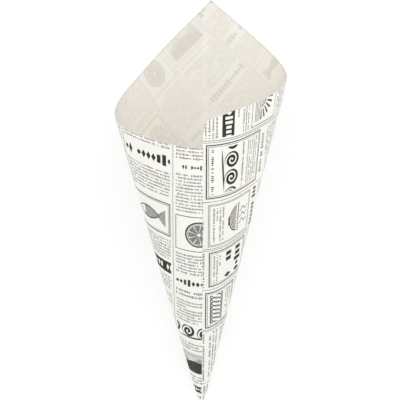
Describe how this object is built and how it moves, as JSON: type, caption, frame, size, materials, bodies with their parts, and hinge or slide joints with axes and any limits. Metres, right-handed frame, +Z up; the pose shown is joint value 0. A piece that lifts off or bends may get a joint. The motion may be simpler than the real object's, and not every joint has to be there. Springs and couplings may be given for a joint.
{
  "type": "paper cone bag",
  "caption": "Tall cone rolled from a sheet of printed paper and glued along a front lap, with a high pointed back edge, for holding chips, nuts or sweets.",
  "frame": {"origin": "on the table that the bag lies on, under the middle of its box", "axes": "+Z up, away from the table and towards the glued seam; +Y from the tip towards the mouth, along the line the bag rests on; +X to the right panel"},
  "size_m": [0.115, 0.291, 0.1078],
  "materials": {
    "printed_paper": "matte uncoated paper, printed outside in dark grey"
  },
  "bodies": {
    "root": {"paper_cone": "printed_paper"}
  },
  "joints": []
}
